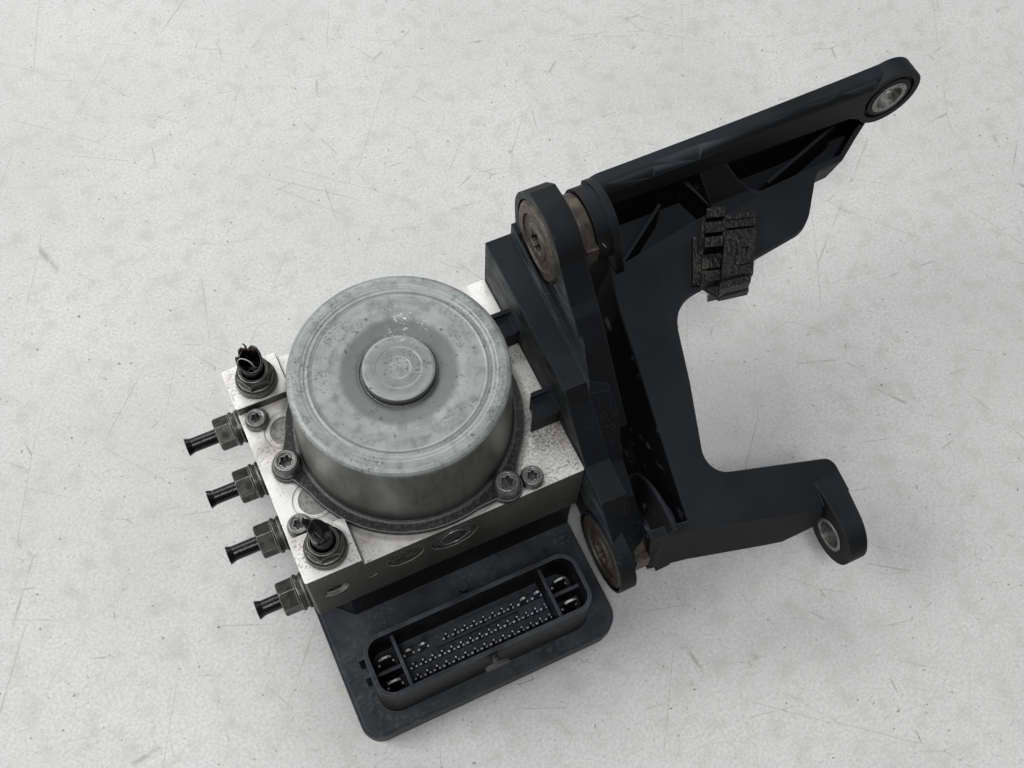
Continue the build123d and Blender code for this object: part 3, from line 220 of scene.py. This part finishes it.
# Sizes, radii and heights are in millimetres. A range holds the values where a layer starts and is full,
# and "within" is a second mask that limits the first.
finishes = {
    # machined cast aluminium, faced with a cutter: bright, with faint tool lines, grey stains and dark
    # specks, painted shade on sides, in holes and crevices, painted highlight on edges
    "machinedAluminium": {
        "base": "f0efed", "metallic": 0.35, "roughness": 0.44, "round": 0.35,
        "layers": [
            {"kind": "cloud", "size": 16, "range": (0.48, 0.7), "colour": "b4b1aa", "rough": 0.52},
            {"kind": "cloud", "size": 0.9, "range": (0.5, 0.62), "colour": "7a756b", "strength": 0.7,
             "within": {"kind": "cloud", "size": 13, "range": (0.49, 0.6)}},
            {"kind": "cloud", "size": 0.9, "range": (0.4, 0.62), "colour": "6e644f", "strength": 0.8,
             "within": {"kind": "band", "radius": 0.0, "width": 50.0, "core": 0.2, "centre": (44, -20, 0)}},
            {"kind": "band", "radius": 42.2, "width": 3.0, "core": 0.1, "colour": "4a463f", "strength": 0.5},
            {"kind": "cloud", "size": 0.6, "range": (0.64, 0.7), "colour": "4f4a42", "strength": 0.8},
            # side faces painted darker as shade, with dark mottling on them
            {"kind": "facing", "toward": (0, 0, 1), "range": (0.6, 0.2), "colour": "403e3a", "strength": 0.9,
             "rough": 0.55},
            {"kind": "cloud", "size": 0.7, "range": (0.42, 0.66), "colour": "24221f", "strength": 0.7,
             "within": {"kind": "facing", "toward": (0, 0, 1), "range": (0.6, 0.2)}},
            # up-facing faces below the top, inside holes, painted dark as shade
            {"kind": "facing", "toward": (0, 0, 1), "range": (0.2, 0.8), "colour": "1e1a15", "strength": 0.95,
             "rough": 0.65, "within": {"kind": "height", "range": (60.6, 60.0)}},
            # crevices painted dark: shade, partly grime
            {"kind": "crevice", "size": 1.6, "range": (0.72, 0.4), "colour": "2e2b27", "strength": 0.85},
            # faces near other parts and deep in holes painted dark as shade
            {"kind": "crevice", "size": 8, "range": (0.42, 0.15), "colour": "2a241d", "strength": 0.92,
             "rough": 0.6},
            # edges painted pale: highlight, partly wear
            {"kind": "edge", "size": 0.4, "range": (0.999, 0.93), "colour": "ecebe7", "strength": 0.55},
        ],
        "relief": [
            {"kind": "cloud", "size": 0.35, "stretch": (0.12, 1, 1), "range": (0.3, 0.7), "depth": 0.02,
             "push": 0.25},
            {"kind": "cloud", "size": 1.2, "range": (0.55, 0.75), "depth": 0.05, "push": 0.2},
        ],
    },
    # machined aluminium plugs pressed into the block: duller, with a dark joint line, sides painted dark as
    # shade
    "pressedPlug": {
        "base": "8f8f8c", "metallic": 0.4, "roughness": 0.55,
        "layers": [
            # sides painted dark as shade
            {"kind": "facing", "toward": (0, 0, 1), "range": (0.6, 0.2), "colour": "24211e",
             "strength": 0.92},
            {"kind": "crevice", "size": 0.8, "range": (0.8, 0.45), "colour": "292724", "strength": 0.9},
            {"kind": "cloud", "size": 1.3, "range": (0.42, 0.64), "colour": "6d6c68", "rough": 0.58},
            {"kind": "cloud", "size": 0.5, "range": (0.6, 0.68), "colour": "3b3935", "strength": 0.6},
        ],
        "relief": [{"kind": "cloud", "size": 0.5, "range": (0.4, 0.7), "depth": 0.05, "push": 0.4}],
    },
    # deep-drawn steel, zinc plated and weathered: dull grey with pale bloom, dark specks and drawing rings,
    # painted shade on the side, flange and crevices, painted highlight on edges
    "weatheredZinc": {
        "base": "939896", "metallic": 0.35, "roughness": 0.5, "round": 0.4,
        "layers": [
            {"kind": "rings", "size": 1.6, "range": (0.35, 0.75), "colour": "777c7a", "strength": 0.3,
             "rough": 0.46},
            {"kind": "cloud", "size": 10, "range": (0.42, 0.66), "colour": "a2a7a5", "strength": 0.6,
             "rough": 0.56},
            {"kind": "cloud", "size": 3.2, "range": (0.46, 0.66), "colour": "6c716f", "strength": 0.6},
            {"kind": "band", "radius": 15.2, "width": 8.6, "core": 0.6, "colour": "656a68", "strength": 0.8},
            {"kind": "band", "radius": 6.5, "width": 7.5, "core": 0.6, "colour": "767b79", "strength": 0.6},
            {"kind": "band", "radius": 28.2, "width": 1.4, "core": 0.2, "colour": "5b605e", "strength": 0.6},
            {"kind": "band", "radius": 11.9, "width": 1.1, "core": 0.5, "colour": "232524", "strength": 0.9},
            {"kind": "cloud", "size": 0.9, "range": (0.52, 0.64), "colour": "474a46", "strength": 0.7,
             "within": {"kind": "cloud", "size": 12, "range": (0.5, 0.62)}},
            {"kind": "cloud", "size": 1.7, "range": (0.65, 0.7), "colour": "3c3d35", "strength": 0.8},
            {"kind": "cloud", "size": 0.9, "range": (0.56, 0.62), "colour": "dfe3e1", "strength": 0.85,
             "within": {"kind": "band", "radius": 2.0, "width": 13.0, "centre": (7.5, 13.5, 0),
                        "within": {"kind": "cloud", "size": 4, "range": (0.46, 0.56)}}},
            # the can's side painted darker than its top as shade
            {"kind": "facing", "toward": (0, 0, 1), "range": (0.5, 0.1), "colour": "55544f", "strength": 0.8,
             "rough": 0.32},
            {"kind": "cloud", "size": 2.6, "stretch": (1, 1, 0.25), "range": (0.48, 0.66), "colour": "353430",
             "strength": 0.4, "within": {"kind": "facing", "toward": (0, 0, 1), "range": (0.5, 0.1)}},
            # darker towards the flange: painted shade under the can, partly grime
            {"kind": "height", "range": (72, 65), "colour": "0d0c0c", "strength": 0.96, "rough": 0.55},
            {"kind": "cloud", "size": 1.1, "range": (0.48, 0.62), "colour": "5c5e5b", "strength": 0.35,
             "within": {"kind": "height", "range": (70, 65)}},
            # crevices painted dark: shade, partly grime
            {"kind": "crevice", "size": 1.5, "range": (0.75, 0.4), "colour": "1c1c1a", "strength": 0.85},
            # edges painted pale: highlight, partly wear
            {"kind": "edge", "size": 0.5, "range": (0.998, 0.93), "colour": "ccd0ce", "strength": 0.55},
        ],
        "relief": [
            {"kind": "cloud", "size": 0.8, "range": (0.4, 0.7), "depth": 0.04, "push": 0.25},
            {"kind": "rings", "size": 0.5, "range": (0.3, 0.7), "depth": 0.01, "push": 0.15},
        ],
    },
    # zinc-plated steel screws, tumbled: mid grey, edges painted bright as highlight and wear, recesses
    # painted dark as shade
    "platedScrew": {
        "base": "6e6f6d", "metallic": 0.7, "roughness": 0.36, "round": 0.25,
        "layers": [
            {"kind": "cloud", "size": 2.2, "range": (0.45, 0.65), "colour": "3f3e3b", "rough": 0.5},
            # edges painted bright: highlight, partly wear
            {"kind": "edge", "size": 0.5, "range": (0.998, 0.92), "colour": "d2d3d0", "strength": 0.9},
            # the recess painted near black as shade
            {"kind": "crevice", "size": 1.6, "range": (0.72, 0.45), "colour": "0c0b0a", "strength": 0.97,
             "rough": 0.6},
        ],
        "relief": [{"kind": "cloud", "size": 0.5, "range": (0.4, 0.7), "depth": 0.02, "push": 0.3}],
    },
    # zinc-nickel plated steel nuts: dark and satin, edges painted bright as highlight and wear, crevices
    # painted dark as shade
    "platedNut": {
        "base": "4a4a48", "metallic": 0.7, "roughness": 0.36, "round": 0.3,
        "layers": [
            {"kind": "cloud", "size": 3.0, "range": (0.42, 0.6), "colour": "2f2e2c", "rough": 0.5},
            # crevices painted dark: shade, partly grime
            {"kind": "crevice", "size": 1.4, "range": (0.75, 0.4), "colour": "141311", "strength": 0.9,
             "rough": 0.6},
            {"kind": "cloud", "size": 0.8, "range": (0.6, 0.68), "colour": "2b2925", "strength": 0.7},
            # edges painted bright: highlight, partly wear
            {"kind": "edge", "size": 0.45, "range": (0.998, 0.9), "colour": "bdbcb7", "strength": 0.8},
        ],
        "relief": [{"kind": "cloud", "size": 0.6, "range": (0.4, 0.7), "depth": 0.03, "push": 0.3}],
    },
    # steel pipe under black polyamide: glossy, scuffed grey, bare and bright where it was cut
    "coatedPipe": {
        "base": "08090a", "roughness": 0.26, "ior": 1.53, "sheen": 0.32, "round": 0.2,
        "layers": [
            {"kind": "cloud", "size": 1.5, "stretch": (0.3, 1, 1), "range": (0.58, 0.7), "colour": "2a2b2c",
             "strength": 0.6, "rough": 0.5},
            {"kind": "edge", "size": 0.4, "range": (0.995, 0.85), "colour": "9c9d9d", "strength": 0.75},
        ],
        "relief": [{"kind": "cloud", "size": 1.1, "range": (0.4, 0.7), "depth": 0.07, "push": 0.35}],
    },
    # black glass-filled polyester, injection moulded: grain that traps light, dusty where it faces up,
    # painted highlight on edges and on the T-stud's front
    "mouldedHousing": {
        "base": "0b0c0e", "roughness": 0.5, "ior": 1.5, "sheen": 0.3, "round": 0.35,
        "layers": [
            {"kind": "cloud", "size": 12, "range": (0.28, 0.64), "colour": "34373c", "rough": 0.6,
             "within": {"kind": "facing", "toward": (0, 0, 1), "range": (0.5, 0.95)}},
            {"kind": "cloud", "size": 1.8, "range": (0.5, 0.7), "colour": "585b5e", "strength": 0.4,
             "within": {"kind": "cloud", "size": 14, "range": (0.46, 0.6)}},
            # edges painted pale: highlight, partly wear
            {"kind": "edge", "size": 0.5, "range": (0.998, 0.9), "colour": "4d5156", "strength": 0.7},
            # paler patch on the T-stud's front: painted highlight
            {"kind": "band", "radius": 0.0, "width": 9.2, "core": 0.98, "across": (1, 0, 1),
             "centre": (-2.4, 0, 29.4),
             "colour": "3a3a39", "strength": 0.8,
             "within": {"kind": "height", "along": 1, "range": (-80.2, -80.6)}},
        ],
        "relief": [{"kind": "cloud", "size": 0.28, "range": (0.3, 0.7), "depth": 0.03, "push": 0.35}],
    },
    # black glass-filled polyamide, injection moulded: upper faces paler and bluish, left faces painted
    # lighter as light reflected from the motor, edges painted pale as highlight and wear
    "mouldedBracket": {
        "base": "07080a", "roughness": 0.6, "ior": 1.5, "sheen": 0.22, "round": 0.5,
        "layers": [
            {"kind": "cloud", "size": 26, "range": (0.2, 0.8), "colour": "20242a", "rough": 0.62,
             "within": {"kind": "facing", "toward": (0, 0, 1), "range": (0.55, 0.95)}},
            {"kind": "cloud", "size": 0.9, "range": (0.6, 0.68), "colour": "5a5e62", "strength": 0.4,
             "within": {"kind": "cloud", "size": 18, "range": (0.48, 0.62)}},
            # left faces painted lighter and streaky: light reflected from the motor
            {"kind": "cloud", "size": 4, "stretch": (1, 0.5, 1), "range": (0.3, 0.7), "colour": "5b5e60",
             "strength": 0.7, "within": {"kind": "facing", "toward": (-1, 0, 0), "range": (0.5, 0.9)}},
            # edges painted pale: highlight, partly wear
            {"kind": "edge", "size": 0.6, "range": (0.998, 0.9), "colour": "3c4148", "strength": 0.6},
        ],
        "relief": [{"kind": "cloud", "size": 0.3, "range": (0.3, 0.7), "depth": 0.03, "push": 0.35}],
    },
    # the same polyamide on the outer bracket: smoother, with wiped streaks down its inner wall, edges painted
    # pale as highlight and wear
    "scuffedBracket": {
        "base": "07080a", "roughness": 0.58, "ior": 1.5, "sheen": 0.22, "round": 0.5,
        "layers": [
            {"kind": "cloud", "size": 30, "range": (0.2, 0.8), "colour": "21252a", "rough": 0.6,
             "within": {"kind": "facing", "toward": (0, 0, 1), "range": (0.55, 0.95)}},
            {"kind": "cloud", "size": 2.2, "stretch": (1, 0.25, 0.35), "range": (0.62, 0.72),
             "colour": "6c6f72",
             "strength": 0.6, "within": {"kind": "facing", "toward": (-1, 0, 0), "range": (0.4, 0.8)}},
            {"kind": "cloud", "size": 0.8, "range": (0.64, 0.72), "colour": "55595d", "strength": 0.35,
             "within": {"kind": "cloud", "size": 20, "range": (0.5, 0.64)}},
            # edges painted pale: highlight, partly wear
            {"kind": "edge", "size": 0.6, "range": (0.998, 0.9), "colour": "3c4148", "strength": 0.55},
        ],
        "relief": [
            {"kind": "cloud", "size": 0.3, "range": (0.3, 0.7), "depth": 0.03, "push": 0.35},
            {"kind": "cloud", "size": 9, "range": (0.3, 0.7), "depth": 0.15, "push": 0.2},
        ],
    },
    # cast blue-grey sealing compound round the pins
    "sealingCompound": {
        "base": "2b323b", "roughness": 0.42, "ior": 1.5, "sheen": 0.4,
        "layers": [
            {"kind": "cloud", "size": 4, "range": (0.4, 0.65), "colour": "1b2027", "rough": 0.55},
            {"kind": "cloud", "size": 0.8, "range": (0.62, 0.7), "colour": "6a7079", "strength": 0.5},
        ],
        "relief": [{"kind": "cloud", "size": 1.0, "range": (0.4, 0.7), "depth": 0.05, "push": 0.4}],
    },
    # tinned copper-alloy contact blades: bright on the shoulders, flats painted dark as shade and dark
    # reflection
    "tinnedContact": {
        "base": "e2e3e2", "metallic": 0.6, "roughness": 0.3,
        "layers": [
            # faces that are not up painted dark: shade and dark reflection
            {"kind": "facing", "toward": (0, 0, 1), "range": (0.7, 0.3), "colour": "232426", "rough": 0.4},
            {"kind": "cloud", "size": 1.2, "range": (0.45, 0.65), "colour": "6b6b69", "strength": 0.5,
             "rough": 0.36},
        ],
    },
    # zinc-plated steel bolt, weathered: dark beige grey with rust freckles, recess painted dark as shade, rim
    # painted pale as highlight and wear
    "weatheredBolt": {
        "base": "625d54", "metallic": 0.65, "roughness": 0.5, "round": 0.3,
        "layers": [
            {"kind": "cloud", "size": 3.0, "range": (0.42, 0.64), "colour": "46423b", "rough": 0.58},
            # the recess painted near black as shade
            {"kind": "crevice", "size": 2.0, "range": (0.8, 0.45), "colour": "0e0c0a", "strength": 0.95},
            {"kind": "cloud", "size": 0.9, "range": (0.56, 0.66), "colour": "2f281f", "strength": 0.75},
            {"kind": "cloud", "size": 0.7, "range": (0.62, 0.68), "colour": "9b9484", "strength": 0.6},
            # rim and edges painted pale: highlight, partly wear
            {"kind": "edge", "size": 0.4, "range": (0.998, 0.9), "colour": "aca797", "strength": 0.7},
        ],
        "relief": [{"kind": "cloud", "size": 0.7, "range": (0.4, 0.7), "depth": 0.05, "push": 0.4}],
    },
    # weathered zinc on the spacers: brownish beige grey, blotchy, edges painted pale as highlight and wear
    "weatheredSpacer": {
        "base": "5a564c", "metallic": 0.6, "roughness": 0.46, "round": 0.3,
        "layers": [
            {"kind": "cloud", "size": 3.0, "range": (0.42, 0.64), "colour": "3c382f", "rough": 0.54},
            {"kind": "cloud", "size": 0.9, "range": (0.6, 0.68), "colour": "7d7258", "strength": 0.6},
            # edges painted pale: highlight, partly wear
            {"kind": "edge", "size": 0.3, "range": (0.998, 0.9), "colour": "948c78", "strength": 0.6},
        ],
    },
    # black natural rubber: matt, slightly chalky
    "mattRubber": {
        "base": "131313", "roughness": 0.78, "ior": 1.52, "sheen": 0.3,
        "layers": [{"kind": "cloud", "size": 3, "range": (0.45, 0.65), "colour": "242322", "rough": 0.86}],
    },
    # pressed-in steel sleeves: dull grey ends, scored bore painted dark as shade, rims painted bright as
    # highlight and wear
    "scoredSleeve": {
        "base": "8a8a88", "metallic": 0.85, "roughness": 0.4, "round": 0.2,
        "layers": [
            {"kind": "cloud", "size": 1.6, "range": (0.45, 0.65), "colour": "5c5b58", "rough": 0.5},
            # the bore painted dark as shade
            {"kind": "crevice", "size": 6.0, "range": (0.75, 0.3), "colour": "2b2a28", "strength": 0.7},
            # rims painted bright: highlight, partly wear
            {"kind": "edge", "size": 0.25, "range": (0.998, 0.9), "colour": "cfcfcc", "strength": 0.7},
        ],
    },
    # ground steel: shaft, pistons and springs
    "groundSteel": {
        "base": "a5a5a2", "metallic": 1.0, "roughness": 0.3, "round": 0.2,
        "layers": [
            {"kind": "cloud", "size": 2.5, "range": (0.45, 0.65), "colour": "82807b", "rough": 0.42},
            {"kind": "cloud", "size": 0.7, "range": (0.64, 0.7), "colour": "54504a", "strength": 0.5},
        ],
    },
    # bearing steel, polished
    "bearingSteel": {
        "base": "b5b6b6", "metallic": 1.0, "roughness": 0.18,
        "layers": [{"kind": "cloud", "size": 4, "range": (0.45, 0.65), "colour": "9b9c9c", "rough": 0.26}],
    },
    # sintered ferrite magnets: charcoal, matt
    "sinteredFerrite": {
        "base": "34353a", "roughness": 0.7, "ior": 1.6,
        "layers": [{"kind": "cloud", "size": 2, "range": (0.45, 0.65), "colour": "27282c", "rough": 0.8}],
    },
    # stacked electrical sheet: thin lines at each 0.5 mm lamination
    "laminatedSheet": {
        "base": "6a6c70", "metallic": 0.9, "roughness": 0.45,
        "layers": [{"kind": "cloud", "size": 0.5, "stretch": (0.02, 0.02, 1), "range": (0.4, 0.6),
                    "colour": "46484c", "rough": 0.6}],
    },
    # enamelled copper wire
    "enamelledCopper": {
        "base": "a5562f", "metallic": 0.85, "roughness": 0.32,
        "layers": [{"kind": "cloud", "size": 1.1, "stretch": (1, 1, 0.2), "range": (0.4, 0.6),
                    "colour": "7c3c1f", "rough": 0.45}],
    },
    # pressed carbon brush
    "pressedCarbon": {
        "base": "2b2b2d", "metallic": 0.3, "roughness": 0.6,
        "layers": [{"kind": "cloud", "size": 0.9, "range": (0.45, 0.6), "colour": "3c3c3f", "rough": 0.5}],
    },
    # lacquered glass-fibre circuit board
    "lacqueredBoard": {
        "base": "14472b", "roughness": 0.3, "ior": 1.55,
        "layers": [{"kind": "cloud", "size": 3, "stretch": (1, 0.2, 1), "range": (0.5, 0.58),
                    "colour": "1f6b3f", "rough": 0.36}],
    },
    # black clip, broken: glossy, with a patch of dry dirt, edges painted pale as highlight and wear
    "brokenClip": {
        "base": "070708", "roughness": 0.32, "ior": 1.53, "sheen": 0.4, "round": 0.25,
        "layers": [
            {"kind": "cloud", "size": 1.4, "range": (0.46, 0.6), "colour": "5d584c", "strength": 0.8,
             "rough": 0.85,
             "within": {"kind": "band", "radius": 0.0, "width": 9.0, "centre": (116.0, 4.0, 0)}},
            {"kind": "cloud", "size": 0.9, "range": (0.62, 0.7), "colour": "3c3b39", "strength": 0.5,
             "rough": 0.7},
            # edges painted pale: highlight, partly wear
            {"kind": "edge", "size": 0.4, "range": (0.998, 0.9), "colour": "3a3a3b", "strength": 0.6},
        ],
        "relief": [{"kind": "cloud", "size": 1.5, "range": (0.4, 0.65), "depth": 0.3, "push": 0.6}],
    },
    # pale thread: undyed fibre
    "paleThread": {"base": "b9b5aa", "roughness": 0.6, "ior": 1.5},
    # torn end of the pipe's coating: stretched, brown with rust from the steel
    "rustyShred": {
        "base": "2a201b", "roughness": 0.6, "ior": 1.5,
        "layers": [{"kind": "cloud", "size": 0.8, "range": (0.45, 0.6), "colour": "5a3a2c", "rough": 0.75}],
    },
    # painted bench top: pale, mottled, with hairline scratches in several directions and scattered flecks,
    # and a painted shadow near the object
    "paintedBench": {
        "base": "d3d4d2", "roughness": 0.5, "sheen": 0.3,
        "layers": [
            {"kind": "cloud", "size": 90, "range": (0.35, 0.7), "colour": "c6c7c5"},
            {"kind": "cloud", "size": 1.2, "range": (0.38, 0.7), "colour": "b2b3b1", "strength": 0.7},
            {"kind": "cloud", "size": 0.6, "range": (0.58, 0.7), "colour": "9fa09d", "strength": 0.4},
            {"kind": "cloud", "size": 9, "range": (0.5, 0.7), "colour": "b2b2af", "strength": 0.5},
            {"kind": "cracks", "size": 34, "turn": 0.5, "stretch": (1, 0.15, 1), "range": (0.004, 0.0),
             "colour": "7a7a76", "strength": 0.6,
             "within": {"kind": "cloud", "size": 16, "range": (0.52, 0.6)}},
            {"kind": "cracks", "size": 26, "turn": -0.8, "stretch": (1, 0.2, 1), "range": (0.005, 0.0),
             "colour": "84847f", "strength": 0.6,
             "within": {"kind": "cloud", "size": 12, "range": (0.52, 0.6)}},
            {"kind": "cracks", "size": 14, "turn": 1.9, "stretch": (1, 0.25, 1), "range": (0.01, 0.0),
             "colour": "878783", "strength": 0.6,
             "within": {"kind": "cloud", "size": 7, "range": (0.56, 0.63)}},
            {"kind": "cloud", "size": 2.2, "range": (0.67, 0.72), "colour": "62615b", "strength": 0.85},
            # painted shadow: darker where the object encloses the floor
            {"kind": "crevice", "size": 45, "range": (0.42, 0.14), "colour": "2e2e2d", "strength": 0.8},
        ],
    },
}

wornBy = {
    "machinedAluminium": ["hydraulic_block", "accumulator_piston_front", "accumulator_piston_back"],
    "pressedPlug": ["top_bore_plugs", "damper_plugs"],
    "weatheredZinc": ["motor_can"],
    "platedScrew": ["motor_screws", "ecu_screws", "pump_plugs", "accumulator_caps"],
    "platedNut": ["wheel_pipe_nuts", "master_pipe_nuts"],
    "coatedPipe": ["wheel_pipe_stubs", "master_stub_front", "master_stub_back"],
    "mouldedHousing": ["ecu_frame", "ecu_cover", "brush_plate"],
    "mouldedBracket": ["inner_carrier"],
    "scuffedBracket": ["outer_bracket"],
    "sealingCompound": ["connector_seal"],
    "tinnedContact": ["signal_pins", "power_pins"],
    "weatheredBolt": ["isolator_bolts"],
    "weatheredSpacer": ["isolator_spacers"],
    "mattRubber": ["isolator_rubbers", "ecu_gasket"],
    "scoredSleeve": ["eye_sleeve", "ear_sleeve"],
    "groundSteel": ["rotor_shaft", "pump_pistons", "pump_springs", "valve_cartridges"],
    "bearingSteel": ["rear_bearing", "front_bearing", "eccentric_ring"],
    "sinteredFerrite": ["motor_magnets"],
    "laminatedSheet": ["armature_core"],
    "enamelledCopper": ["armature_windings", "commutator", "solenoid_coils"],
    "pressedCarbon": ["carbon_brushes"],
    "lacqueredBoard": ["circuit_board"],
    "brokenClip": ["cable_clip"],
}
materials = {name: makeFinish(name, plan) for name, plan in finishes.items()}
for name, wearers in wornBy.items():
    for wearer in wearers:
        nodes[wearer].data.materials.clear()
        nodes[wearer].data.materials.append(materials[name])
print("finishes made:", len(materials))


def gridSurface(name, points, material, closed=False):
    # a grid of points (rows, columns, 3) in millimetres made into quads, each row a ring where it is closed
    rows, columns = points.shape[:2]
    index = np.arange(rows * columns).reshape(rows, columns)
    if closed:
        index = np.hstack([index, index[:, :1]])
    corners = [index[:-1, :-1], index[:-1, 1:], index[1:, 1:], index[1:, :-1]]
    quads = np.stack(corners, axis=-1).reshape(-1, 4)
    mesh = bpy.data.meshes.new(name)
    mesh.from_pydata(points.reshape(-1, 3) * mm, [], quads)
    mesh.materials.append(material)
    mesh.polygons.foreach_set("use_smooth", np.ones(len(mesh.polygons), dtype=bool))
    piece = bpy.data.objects.new(name, mesh)
    scene.collection.objects.link(piece)
    return piece


def smoothPath(points, count=40):
    # cubic through the points a b c d: half of 2b + (c-a) t + (2a-5b+4c-d) t^2 + (3b-a-3c+d) t^3 from b to c
    p = np.array(points, float)
    p = np.vstack([2 * p[0] - p[1], p, 2 * p[-1] - p[-2]])
    last = len(points) - 1 - 1e-9  # just inside the last span
    place = np.linspace(0, last, count)
    span = place.astype(int)
    t = (place - span)[:, None]
    a, b, c, d = p[span], p[span + 1], p[span + 2], p[span + 3]
    curve = (2 * a - 5 * b + 4 * c - d) * t ** 2 + (3 * b - a - 3 * c + d) * t ** 3
    return 0.5 * (2 * b + (c - a) * t + curve)


def tube(name, path, girth, material, toward=(0.3, 0.2, 0.93), sides=8):
    # path + girth (u cos a + v sin a), with u square to the path and to toward, and a point at each end
    along = np.gradient(path, axis=0)
    along /= np.linalg.norm(along, axis=1)[:, None]
    u = np.cross(toward, along)
    u /= np.linalg.norm(u, axis=1)[:, None]
    v = np.cross(along, u)
    angle = np.linspace(0, 2 * np.pi, sides, endpoint=False)[None, :, None]
    ring = u[:, None] * np.cos(angle) + v[:, None] * np.sin(angle)
    rings = path[:, None] + girth[:, None, None] * ring
    ends = np.repeat(path[[0, -1]][:, None], sides, axis=1)
    return gridSurface(name, np.concatenate([ends[:1], rings, ends[1:]]), material, closed=True)


def strand(name, points, radius, material):
    # smooth tube thinned towards both ends: radius by the root of a sine, which starts at tip
    path = smoothPath(points)
    tip = 0.02
    girth = radius * np.sqrt(np.sin(np.linspace(tip, np.pi - tip, len(path))))
    return tube(name, path, girth, material)


# Shreds of the pipe's coating and one pale thread in the torn stub, and a hair caught on the upper boss
strandPlan = {
    "tornThread": {"radius": 0.18, "finish": "paleThread", "slot": "pipe_coating",
                   "points": [(-45.6, 33.4, 81.6), (-44.2, 33.9, 83.6), (-42.4, 33.2, 83.4),
                              (-41.0, 31.6, 82.6), (-40.4, 30.4, 80.8)]},
    "tornShredLeft": {"radius": 0.4, "finish": "rustyShred", "slot": "pipe_coating",
                      "points": [(-43.8, 36.4, 80.0), (-43.2, 37.2, 83.0), (-42.0, 36.8, 85.2)]},
    "tornShredMiddle": {"radius": 0.35, "finish": "rustyShred", "slot": "pipe_coating",
                        "points": [(-41.6, 37.0, 80.5), (-40.7, 37.4, 83.6), (-41.3, 38.2, 85.4)]},
    "tornShredRight": {"radius": 0.4, "finish": "rustyShred", "slot": "pipe_coating",
                       "points": [(-39.0, 36.2, 80.0), (-38.4, 35.8, 83.0), (-39.4, 34.9, 84.6)]},
    "hair": {"radius": 0.13, "finish": "paleThread", "slot": "bracket_plastic",
             "points": [(77.2, 16.6, 109.5), (78.0, 15.4, 107.9), (78.6, 13.6, 105.4), (79.7, 12.7, 103.3)]},
}
for name, plan in strandPlan.items():
    piece = strand(name, plan["points"], plan["radius"], materials[plan["finish"]])
    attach(piece, "module")
print("strands added:", len(strandPlan))


def wallPanel(name, outline, front, back, material):
    # closed panel: the outline's four corners at two depths, joined round the rim
    rings = np.array([[(x, y, z) for x, z in outline] for y in (front, front, back, back)], float)
    middle = rings.mean(axis=1, keepdims=True)
    rings[0], rings[3] = middle[0], middle[3]
    return gridSurface(name, rings, material, closed=True)


# Back wall of the bracket's right-hand hollow, below the arm's own wall
pocketPlan = {
    "outline": [(165.0, 76.5), (198.0, 93.0), (198.0, 74.2), (165.0, 74.2)], "front": 36.5, "back": 37.5,
}
pocketWall = wallPanel("pocketWall", pocketPlan["outline"], pocketPlan["front"], pocketPlan["back"],
                       materials["scuffedBracket"])
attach(pocketWall, "module")
print("pocket wall added")


# Accumulator springs: round wire in even turns along X, at one fixed length; on the real unit they shorten as
# their pistons slide back
springPlan = {
    "start": 18.0, "length": 27.2, "radius": 5.6, "wire": 0.6, "turns": 6, "steps": 24, "height": 48.2,
    "travel": 10.0, "side": {"Front": -22.0, "Back": 22.0},
}


def coilPath(plan, across):
    # helix along X: its angle and x grow together, y = across + radius sin, z = height - radius cos
    share = np.linspace(0, 1, plan["turns"] * plan["steps"] + 1)
    angle = 2 * np.pi * plan["turns"] * share
    x = plan["start"] + plan["wire"] + (plan["length"] - 2 * plan["wire"]) * share
    y = across + plan["radius"] * np.sin(angle)
    z = plan["height"] - plan["radius"] * np.cos(angle)
    return np.stack([x, y, z], axis=1)


for side, across in springPlan["side"].items():
    path = coilPath(springPlan, across)
    spring = tube("accumulatorSpring" + side, path, np.full(len(path), springPlan["wire"]),
                  materials["groundSteel"], toward=(1, 0, 0), sides=12)
    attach(spring, "module")
    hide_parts("accumulator_spring_" + side.lower())
    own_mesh(spring)
print("springs added:", len(springPlan["side"]))


# Floor: a pale painted bench top, scratched and flecked, with a painted shadow round the object
benchPlan = {"reach": 2000.0, "height": -0.05}  # half the side, and just under the cover
reach, height = benchPlan["reach"], benchPlan["height"]
corners = np.array([
    [(-reach, reach, height), (-reach, -reach, height)], [(reach, reach, height), (reach, -reach, height)],
], float)
floor = gridSurface("bench", corners, materials["paintedBench"])
print("floor laid")
